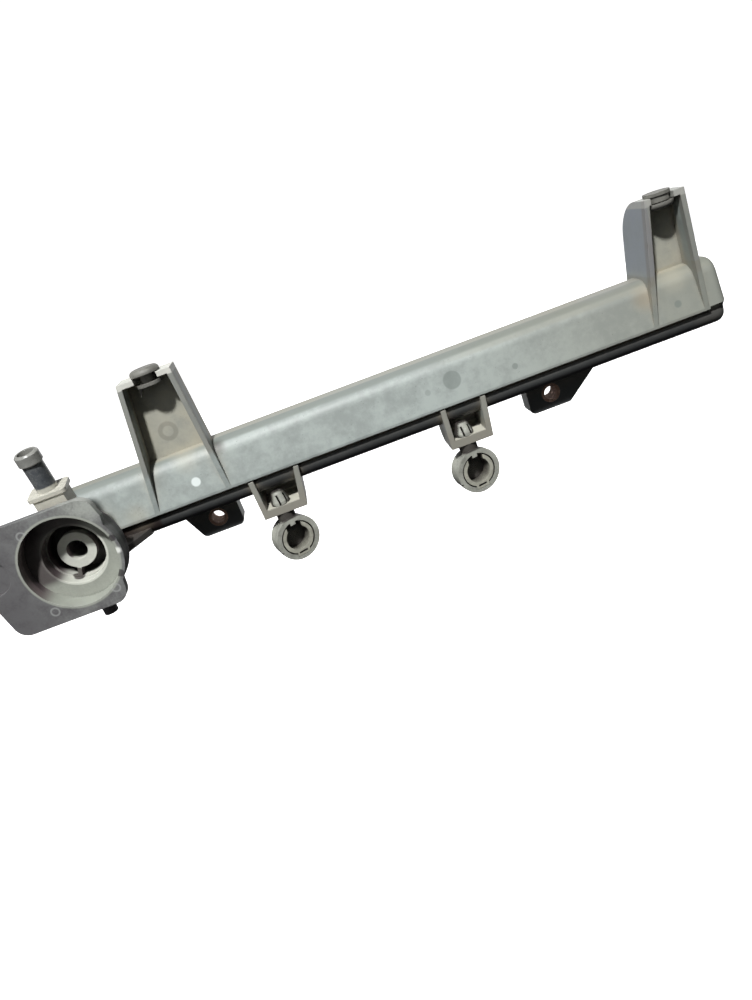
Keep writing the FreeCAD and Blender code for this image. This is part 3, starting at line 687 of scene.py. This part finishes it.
@dataclass(frozen=True)
class SteelFinish:
    """Dull plated steel with brown stains."""

    name: str
    plate: Colour
    stain: Colour
    stained: float
    roughness: float
    patches: Noise = Noise(2.5 * MILLIMETRE, 5.0, 0.7)
    patch_start: float = 0.62
    patch_full: float = 0.78
    plate_metal: float = 0.85
    stain_metal: float = 0.15
    stain_roughness: float = 0.8
    pits: Noise = Noise(0.3 * MILLIMETRE, 4.0, 0.6)
    pit_depth: float = 0.03 * MILLIMETRE
    rounding: float = 0.25 * MILLIMETRE

    def build(self) -> bpy.types.Material:
        """Make the material.

        Returns:
            The finished material.
        """
        graph = Graph(self.name)
        more = self.stained / 2.0
        stained = Ramp(self.patch_start - more, self.patch_full - more)
        patch = graph.ramp(graph.noise(self.patches), stained)
        graph.surface("Base Color", graph.blend(patch, self.plate, self.stain))
        graph.surface("Metallic", graph.ramp(patch, Ramp(0.0, 1.0, self.plate_metal, self.stain_metal)))
        graph.surface("Roughness", graph.ramp(patch, Ramp(0.0, 1.0, self.roughness, self.stain_roughness)))
        graph.relief(graph.noise(self.pits), self.pit_depth, self.rounding)
        return graph.material


Finish = Union[MouldedFinish, SteelFinish]


@dataclass(frozen=True)
class StudioFinish:
    """Plain pale matt surface of the studio's floor."""

    name: str
    colour: Colour
    glow: float
    roughness: float = 0.9

    def build(self) -> bpy.types.Material:
        """Make the material.

        Returns:
            The finished material.
        """
        graph = Graph(self.name)
        graph.surface("Base Color", self.colour)
        graph.surface("Roughness", self.roughness)
        graph.surface("Emission Color", self.colour)
        graph.surface("Emission Strength", self.glow)
        return graph.material


def between(along: Along, span: Span, soft: float) -> tuple[Limit, Limit]:
    """Limit a zone to a span.

    Args:
        along: What the span is measured by.
        span: Its two ends, the lower one first.
        soft: How far the zone fades beyond each end.

    Returns:
        The two limits.
    """
    low, high = span
    return Limit(along, low - soft, low), Limit(along, high + soft, high)


class SubAssembly(ABC):
    """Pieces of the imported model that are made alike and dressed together."""

    @abstractmethod
    def finishes(self) -> list[Finish]:
        """List the finishes, each named for the material slot of its pieces."""

    def dress(self, frame: Frame) -> None:
        """Build the finishes and give them to their pieces.

        Args:
            frame: The loaded frame.
        """
        slots = {part["node"]: part["material_slot"] for part in frame["record"]["subparts"]}
        for finish in self.finishes():
            material = finish.build()
            for name, piece in frame["nodes"].items():
                if slots[name] == finish.name:
                    piece.data.materials.clear()
                    piece.data.materials.append(material)
                    LOG.info("%s takes the finish %s", name, finish.name)


@dataclass(frozen=True)
class RailMoulding(SubAssembly):
    """The rail: its tube, two towers, two brackets and two bolt ears, and the plug in its end."""

    above_face: Limit = Limit(Along.Z, 0.0280, 0.0310)
    below_towers: Limit = Limit(Along.Z, 0.0382, 0.0374)
    above_lip: Limit = Limit(Along.Z, 0.0120, 0.0160)
    pockets: tuple[Span, ...] = ((-0.1020, -0.0705), (0.1392, 0.1560))
    brackets: tuple[Span, ...] = ((-0.0660, -0.0390), (0.0260, 0.0540))
    soft_side: float = 0.0005
    bracket_dust: Colour = linear(134, 131, 121)
    bracket_floor: Colour = linear(196, 194, 180)
    mould_mark: Colour = linear(104, 112, 108)

    def finishes(self) -> list[Finish]:
        """List the rail's one finish.

        Returns:
            The finish, in a list.
        """
        zones = (*self.tube_zones(), *self.tower_zones(), *self.end_zones(), *self.bracket_zones())
        return [MouldedFinish(
            name="rail_plastic", bare=linear(44, 44, 46), dust=linear(156, 164, 160),
            grime=linear(150, 140, 122), cover=0.8, contrast=0.26, patch=0.03, edge_dust=0.6,
            roughness=0.42, grain=0.02 * MILLIMETRE, rounding=0.45 * MILLIMETRE,
            shelter=LipShelter(), zones=zones, marks=self.marks())]

    def tube_zones(self) -> tuple[Zone, ...]:
        """Tone the tube's round top, from its edge to its crest, and its face; the first two zones are
        painted shade on the round top edge.

        Returns:
            The zones, in the order in which they are laid on.
        """
        top = (self.above_face, self.below_towers)
        face = (self.above_lip, self.below_towers)
        return (
            # Painted shade that dims the highlight on the round top edge towards the closed end.
            Zone(linear(132, 134, 124), 0.6, 0.3,
                 (Limit(Along.UPWARD, 0.45, 0.62), *top, Limit(Along.X, 0.02, 0.06))),
            # Painted shade: a dark band on the round top edge, just above its highlight.
            Zone(linear(114, 120, 115), 0.9, 0.4, (Limit(Along.UPWARD, 0.70, 0.84), *top)),
            Zone(linear(148, 146, 134), 0.7, 0.3, (Limit(Along.UPWARD, 0.985, 0.999), *top)),
            Zone(linear(122, 116, 98), 0.45, 0.4, (Limit(Along.X, 0.02, 0.15), *face)),
            Zone(linear(130, 132, 122), 0.4, 0.3, (Limit(Along.X, 0.136, 0.139), *face)))

    def tower_zones(self) -> tuple[Zone, ...]:
        """Tone the towers: the right one's left wall, the pockets, the ribs' fronts and the tops.

        Returns:
            The zones, in the order in which they are laid on.
        """
        left_wall = Zone(linear(120, 125, 138), 0.7, 0.4, (
            Limit(Along.X, 0.10, 0.11), Limit(Along.X, 0.1388, 0.1380), Limit(Along.Z, 0.034, 0.042)))
        pockets = tuple(
            Zone(linear(168, 160, 140), 0.6, 0.5, (
                Limit(Along.Y, -0.0170, -0.0145), Limit(Along.Z, 0.0290, 0.0330),
                *between(Along.X, span, self.soft_side)))
            for span in self.pockets)
        rib_fronts = Zone(linear(112, 104, 94), 0.6, 0.5, (
            Limit(Along.Y, -0.0200, -0.0215), Limit(Along.Z, 0.0310, 0.0350)))
        left_top = Zone(linear(208, 208, 200), 0.85, 0.2, (Limit(Along.Z, 0.0710, 0.0716),))
        right_top = Zone(linear(170, 170, 164), 0.7, 0.3, (
            Limit(Along.Z, 0.0660, 0.0666), Limit(Along.X, 0.100, 0.102)))
        return (left_wall, *pockets, rib_fronts, left_top, right_top)

    def end_zones(self) -> tuple[Zone, ...]:
        """Tone the two ends below the lip: a painted shadow of the housing beside it, grey at the closed
        end.

        Returns:
            The zones, in the order in which they are laid on.
        """
        # Painted shadow that the housing casts on the rail below its lip.
        painted_housing_shadow = Zone(linear(42, 34, 32), 0.92, 0.1, (
            Limit(Along.Y, -0.0205, -0.0210), Limit(Along.Z, 0.0142, 0.0136),
            Limit(Along.X, -0.1040, -0.1060)))
        closed_end = Zone(linear(84, 83, 80), 0.9, 0.3, (
            Limit(Along.X, 0.1480, 0.1570), Limit(Along.Z, 0.0150, 0.0143)))
        return painted_housing_shadow, closed_end

    def bracket_zones(self) -> tuple[Zone, ...]:
        """Tone each bracket: dust below the tube, a pale floor and dust on its front.

        Returns:
            The zones, in the order in which they are laid on.
        """
        below_tube = Limit(Along.Z, 0.0050, 0.0030)
        faces_up = Limit(Along.UPWARD, 0.4, 0.7)
        front = (Limit(Along.Y, -0.0230, -0.0234), Limit(Along.Z, 0.0149, 0.0143))
        zones = []
        for span in self.brackets:
            sides = between(Along.X, span, self.soft_side)
            zones.append(Zone(self.bracket_dust, 0.85, 0.2, (below_tube, *sides)))
            zones.append(Zone(self.bracket_floor, 0.85, 0.2, (below_tube, *sides, faces_up)))
            zones.append(Zone(self.bracket_dust, 0.8, 0.2, (*front, *sides)))
        return tuple(zones)

    def marks(self) -> tuple[Mark, ...]:
        """List the mould's round marks, a pale spot and a faint ring by the left tower, the stains at the
        towers' feet and the left end, and a painted shadow of the left tower's right wall.

        Returns:
            The marks.
        """
        return (
            Mark((0.0389, -0.0217, 0.0255), 0.0044, self.mould_mark, 0.6, 0.0007),
            Mark((0.0673, -0.0227, 0.0216), 0.0016, self.mould_mark, 0.6, 0.0006),
            Mark((0.1447, -0.0226, 0.0221), 0.0019, self.mould_mark, 0.6, 0.0006),
            Mark((0.0269, -0.0221, 0.0239), 0.0016, self.mould_mark, 0.35, 0.0006),
            Mark((-0.0832, -0.0223, 0.0230), 0.0024, linear(214, 222, 220), 0.8, 0.0007),
            Mark((-0.0869, -0.0130, 0.0467), 0.0048, linear(112, 110, 100), 0.4, 0.0008, inner=0.0028),
            Mark((0.1310, -0.0200, 0.0290), 0.0080, linear(146, 134, 114), 0.5, 0.0070),
            Mark((0.1460, -0.0150, 0.0310), 0.0100, linear(176, 170, 150), 0.4, 0.0080),
            Mark((-0.0840, -0.0150, 0.0320), 0.0100, linear(168, 162, 144), 0.4, 0.0080),
            Mark((-0.1130, -0.0200, 0.0170), 0.0090, linear(158, 148, 126), 0.4, 0.0080),
            # Painted shadow of the left tower's right wall on the tube's round top.
            Mark((-0.0690, -0.0180, 0.0330), 0.0050, linear(58, 54, 50), 0.7, 0.0040))


@dataclass(frozen=True)
class RegulatorEnd(SubAssembly):
    """The regulator's housing and the hose nipple on top of it."""

    in_bore: Limit = Limit(Along.REACH, 0.0203, 0.0196)
    in_well: Limit = Limit(Along.REACH, 0.0136, 0.0131)
    behind_rim: Limit = Limit(Along.Y, -0.0600, -0.0590)
    flange_front: float = -0.0640
    # Colour of the painted shade on the bores' left and upper sides.
    painted_bore_shade: Colour = linear(60, 50, 53)
    ring_mark: Colour = linear(160, 162, 160)
    ring_places: tuple[tuple[float, float], ...] = (
        (-0.1441, 0.0381), (-0.1473, 0.0043), (-0.1210, 0.0050))

    def finishes(self) -> list[Finish]:
        """List the finishes of the housing and of the nipple.

        Returns:
            The finishes, in a list.
        """
        housing = MouldedFinish(
            name="housing_plastic", bare=linear(64, 60, 64), dust=linear(140, 143, 140),
            grime=linear(90, 84, 80), cover=0.45, contrast=0.56, patch=0.007, edge_dust=0.8,
            roughness=0.5, grain=0.03 * MILLIMETRE, rounding=0.35 * MILLIMETRE, grime_share=0.2,
            zones=self.flange_zones() + self.bore_zones(), marks=self.marks())
        collar = Zone(linear(196, 194, 182), 0.9, 0.2, (Limit(Along.Z, 0.0503, 0.0496),))
        bead = Zone(linear(146, 146, 140), 0.8, 0.3, (Limit(Along.Z, 0.0598, 0.0604),))
        nipple = MouldedFinish(
            name="nipple_plastic", bare=linear(58, 62, 68), dust=linear(128, 130, 128),
            grime=linear(120, 112, 98), cover=0.3, contrast=0.5, patch=0.008, edge_dust=0.6,
            roughness=0.33, grain=0.02 * MILLIMETRE, rounding=0.3 * MILLIMETRE, grime_share=0.2,
            zones=(collar, bead))
        return [housing, nipple]

    def flange_zones(self) -> tuple[Zone, ...]:
        """Tone the flange: darker to the left, paler at its top right, and painted shade on the housing
        behind it.

        Returns:
            The zones, in the order in which they are laid on.
        """
        left = Zone(linear(66, 62, 68), 0.6, 0.5, (Limit(Along.X, -0.134, -0.162),))
        top_right = Zone(linear(168, 172, 164), 0.65, 0.5, (
            Limit(Along.X, -0.133, -0.120), Limit(Along.Z, 0.030, 0.040)))
        # Painted shade on all of the housing that lies behind the flange.
        behind = Zone(linear(50, 46, 50), 0.75, 0.2, (Limit(Along.Y, -0.0600, -0.0570),))
        return left, top_right, behind

    def bore_zones(self) -> tuple[Zone, ...]:
        """Tone the two bores, paint shade on their walls that face down and to the right, on their left
        and upper sides and far down the well, and tone the boss above them.

        Returns:
            The zones, in the order in which they are laid on.
        """
        seat = Zone(linear(154, 158, 148), 0.9, 0.2, (self.in_bore, Limit(Along.Y, -0.0545, -0.0556)))
        well = Zone(linear(200, 202, 192), 0.9, 0.15, (self.in_well, Limit(Along.Y, -0.0395, -0.0405)))
        # Painted shade on the bore walls that face down and to the right, away from the light.
        painted_wall_shade = Zone(linear(92, 77, 81), 0.9, 0.1, (self.in_bore, Limit(Along.SHADED, -0.05, 0.35)))
        # Painted shade on the seat's left and upper sides.
        painted_left_shade = Zone(self.painted_bore_shade, 0.88, 0.1, (
            self.in_bore, self.behind_rim,
            Limit(Along.X, -0.1370, -0.1450), Limit(Along.Z, 0.0110, 0.0150)))
        painted_upper_shade = Zone(self.painted_bore_shade, 0.88, 0.1, (
            self.in_bore, self.behind_rim,
            Limit(Along.Z, 0.0290, 0.0350), Limit(Along.X, -0.1180, -0.1260)))
        # Painted shade far down the well.
        painted_well_shade = Zone(linear(44, 38, 37), 0.9, 0.1, (self.in_well, Limit(Along.Y, -0.0490, -0.0460)))
        boss = Zone(linear(196, 194, 182), 0.9, 0.2, (Limit(Along.Z, 0.0385, 0.0395), self.behind_rim))
        return seat, well, painted_wall_shade, painted_left_shade, painted_upper_shade, painted_well_shade, boss

    def marks(self) -> tuple[Mark, ...]:
        """List the flange's rings; at its right edge, painted shade in two notches and a painted glint;
        and the dark on the tube's web.

        Returns:
            The marks.
        """
        front = self.flange_front
        rings = tuple(
            Mark((across, front, level), 0.0022, self.ring_mark, 0.5, 0.0004, inner=0.0015)
            for across, level in self.ring_places)
        return (
            *rings,
            # Painted shade in a notch at the flange's right edge.
            Mark((-0.1131, front, 0.0250), 0.0017, linear(46, 42, 44), 0.85, 0.0006),
            # Painted glint at the flange's right edge.
            Mark((-0.1133, front, 0.0195), 0.0018, linear(236, 238, 232), 0.75, 0.0012),
            # Painted shade in a notch at the flange's right edge.
            Mark((-0.1166, front, 0.0102), 0.0019, linear(56, 54, 54), 0.85, 0.0006),
            Mark((-0.1368, -0.0510, 0.0117), 0.0029, linear(52, 45, 43), 0.9, 0.0006))


@dataclass(frozen=True)
class RubberParts(SubAssembly):
    """The two bushes in the towers and the sealing ring in the housing."""

    dust: Colour = linear(130, 130, 123)

    def finishes(self) -> list[Finish]:
        """List the rubber's one finish.

        Returns:
            The finish, in a list.
        """
        return [MouldedFinish(
            name="rubber", bare=linear(60, 58, 56), dust=self.dust, grime=linear(92, 86, 76), cover=0.6,
            contrast=0.5, patch=0.006, edge_dust=0.6, roughness=0.5, grain=0.03 * MILLIMETRE,
            rounding=0.3 * MILLIMETRE, grime_share=0.3)]


@dataclass(frozen=True)
class HoseClips(SubAssembly):
    """The two hose clips: a barrel on a split stem, with a springy liner inside."""

    above_barrel: Limit = Limit(Along.Z, -0.0092, -0.0084)
    below_bracket: Limit = Limit(Along.Z, -0.0040, -0.0048)

    def finishes(self) -> list[Finish]:
        """List the finishes of the barrels and of the liners.

        Returns:
            The finishes, in a list.
        """
        # Painted shade on the stem under the bracket, darker than the bare plastic.
        stem = Zone(linear(40, 33, 31), 0.92, 0.1, (self.above_barrel, self.below_bracket))
        # The shade fields of the barrel and the liner paint shade inside the barrel and where it meets its
        # neighbours.
        barrel = MouldedFinish(
            name="clip_plastic", bare=linear(52, 48, 45), dust=linear(178, 180, 170),
            grime=linear(60, 54, 50), cover=0.72, contrast=0.7, patch=0.006, edge_dust=0.9,
            roughness=0.5, grain=0.05 * MILLIMETRE, rounding=0.3 * MILLIMETRE, grime_reach=0.002,
            shade_reach=0.020, shade_open=0.66, shade_share=0.95, shade_alone=False, zones=(stem,))
        liner = MouldedFinish(
            name="liner_plastic", bare=linear(66, 62, 56), dust=linear(186, 186, 172),
            grime=linear(84, 78, 64), cover=0.68, contrast=0.6, patch=0.004, edge_dust=0.8,
            roughness=0.4, grain=0.05 * MILLIMETRE, rounding=0.25 * MILLIMETRE, grime_reach=0.002,
            grime_share=0.4, shade_reach=0.012, shade_open=0.55, shade_share=0.95, shade_alone=False)
        return [barrel, liner]


@dataclass(frozen=True)
class EarSleeves(SubAssembly):
    """The steel sleeves in the two bolt ears."""

    plate: Colour = linear(225, 200, 188)
    stain: Colour = linear(150, 120, 104)

    def finishes(self) -> list[Finish]:
        """List the sleeves' one finish."""
        return [SteelFinish(
            name="sleeve_steel", plate=self.plate, stain=self.stain, stained=0.6, roughness=0.6)]


@dataclass(frozen=True)
class Lamp:
    """A square light that shines at the object's middle."""

    name: str
    travel: tuple[float, float, float]
    side: float
    watts: float
    distance: float = 1.3

    def hang(self, centre: Vector) -> None:
        """Hang the light.

        Args:
            centre: The object's middle.
        """
        travel = Vector(self.travel)
        data = bpy.data.lights.new(self.name, "AREA")
        data.size = self.side
        data.energy = self.watts
        lamp = bpy.data.objects.new(self.name, data)
        lamp.location = centre - travel.normalized() * self.distance
        lamp.rotation_mode = "QUATERNION"
        lamp.rotation_quaternion = travel.to_track_quat("-Z", "Y")
        bpy.context.scene.collection.objects.link(lamp)


@dataclass
class Studio:
    """Pale floor that curves up into a wall all round, three lights and the sky."""

    centre: Vector
    floor_drop: float = 0.16
    floor_radius: float = 1.6
    wall_radius: float = 1.8
    wall_top: float = 5.0
    curve_steps: int = 12
    around: int = 64
    finish: StudioFinish = StudioFinish(name="studio_floor", colour=linear(252, 252, 252), glow=0.9)
    lamps: tuple[Lamp, ...] = (
        Lamp("key_light", (0.138, 0.583, -0.80), side=0.08, watts=27.0),
        Lamp("fill_light", (0.75, 0.55, -0.35), side=1.4, watts=3.2),
        Lamp("back_light", (-0.2, -1.0, -0.12), side=1.4, watts=7.0))
    sky_strength: float = 0.18
    sky_span: Span = (-0.3, 0.6)
    sky_below: float = 0.12

    def profile(self) -> list[tuple[float, float]]:
        """Draw half the dish's section, from its middle to the wall's top.

        Returns:
            The radius and the height of each ring.
        """
        rings = [(0.0, 0.0), (self.floor_radius / 2.0, 0.0), (self.floor_radius, 0.0)]
        for step in range(1, self.curve_steps + 1):
            angle = math.pi / 2.0 * step / self.curve_steps
            radius = self.floor_radius + self.wall_radius * math.sin(angle)
            rings.append((radius, self.wall_radius * (1.0 - math.cos(angle))))
        rings.append((rings[-1][0], self.wall_top))
        return rings

    def build_floor(self, low: float) -> None:
        """Build the floor as one round dish and dress it.

        Args:
            low: Height of the object's lowest point.
        """
        base = low - self.floor_drop
        points = []
        faces = []
        for ring, (radius, height) in enumerate(self.profile()):
            start = (ring - 1) * self.around
            for turn in range(self.around):
                angle = 2.0 * math.pi * turn / self.around
                across = self.centre.x + radius * math.cos(angle)
                points.append((across, self.centre.y + radius * math.sin(angle), base + height))
                after = (turn + 1) % self.around
                if ring:
                    first, second = start + turn, start + after
                    faces.append((first, second, second + self.around, first + self.around))
        mesh = bpy.data.meshes.new("studio_floor")
        mesh.from_pydata(points, [], faces)
        mesh.shade_smooth()
        floor = bpy.data.objects.new("studio_floor", mesh)
        bpy.context.scene.collection.objects.link(floor)
        floor.visible_diffuse = False
        floor.visible_glossy = False
        floor.visible_shadow = False
        floor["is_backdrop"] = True
        floor.data.materials.append(self.finish.build())
        LOG.info("studio_floor takes the finish %s", self.finish.name)

    def light(self) -> None:
        """Hang the key light, the fill light and the light behind the rail, and set the sky."""
        for lamp in self.lamps:
            lamp.hang(self.centre)
            LOG.info("%s hangs at %.1f watts", lamp.name, lamp.watts)
        bpy.context.scene.world = self.build_sky()

    def build_sky(self) -> bpy.types.World:
        """Make a grey sky that is dim below.

        Returns:
            The sky.
        """
        world = bpy.data.worlds.new("studio_sky")
        world.use_nodes = True
        nodes = world.node_tree.nodes
        links = world.node_tree.links
        place = nodes.new("ShaderNodeTexCoord")
        split = nodes.new("ShaderNodeSeparateXYZ")
        height = nodes.new("ShaderNodeMapRange")
        height.inputs["From Min"].default_value = self.sky_span[0]
        height.inputs["From Max"].default_value = self.sky_span[1]
        height.inputs["To Min"].default_value = self.sky_below
        links.new(place.outputs["Generated"], split.inputs["Vector"])
        links.new(split.outputs["Z"], height.inputs["Value"])
        sky = nodes["Background"]
        sky.inputs["Strength"].default_value = self.sky_strength
        links.new(height.outputs["Result"], sky.inputs["Color"])
        return world


@dataclass
class PhotoCamera:
    """Camera at the photograph's viewing angle."""

    place: tuple[float, float, float] = (-0.01125, -0.346, 0.1105)
    pitch: float = math.radians(21.2)
    roll: float = math.radians(20.5)
    lens: float = 27.07
    sensor: float = 36.0
    nearest: float = 0.01
    farthest: float = 20.0

    def turn(self) -> Matrix:
        """Work out how the camera is turned.

        Returns:
            The turn, with the camera's own axes as columns.
        """
        right = Vector((1.0, 0.0, 0.0))
        upward = Vector((0.0, math.sin(self.pitch), math.cos(self.pitch)))
        ahead = Vector((0.0, math.cos(self.pitch), -math.sin(self.pitch)))
        across = right * math.cos(self.roll) - upward * math.sin(self.roll)
        above = right * math.sin(self.roll) + upward * math.cos(self.roll)
        return Matrix((across, above, -ahead)).transposed()

    def build(self) -> None:
        """Build the camera and make it the scene's own."""
        data = bpy.data.cameras.new("photo_camera")
        data.lens = self.lens
        data.sensor_width = self.sensor
        data.clip_start = self.nearest
        data.clip_end = self.farthest
        camera = bpy.data.objects.new("photo_camera", data)
        camera.matrix_world = Matrix.Translation(Vector(self.place)) @ self.turn().to_4x4()
        bpy.context.scene.collection.objects.link(camera)
        bpy.context.scene.camera = camera
        LOG.info("photo_camera stands at %s", self.place)


def main() -> None:
    """Dress the fuel rail, light it and point the camera at it."""
    logging.basicConfig(level=logging.INFO, format="%(name)s: %(message)s")
    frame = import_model()
    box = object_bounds()
    for assembly in (RailMoulding(), RegulatorEnd(), RubberParts(), HoseClips(), EarSleeves()):
        assembly.dress(frame)
    studio = Studio(centre=(box[0] + box[1]) / 2.0)
    studio.build_floor(box[0].z)
    studio.light()
    PhotoCamera().build()
    bpy.context.scene.view_settings.view_transform = "Standard"


if __name__ == "__main__":
    main()
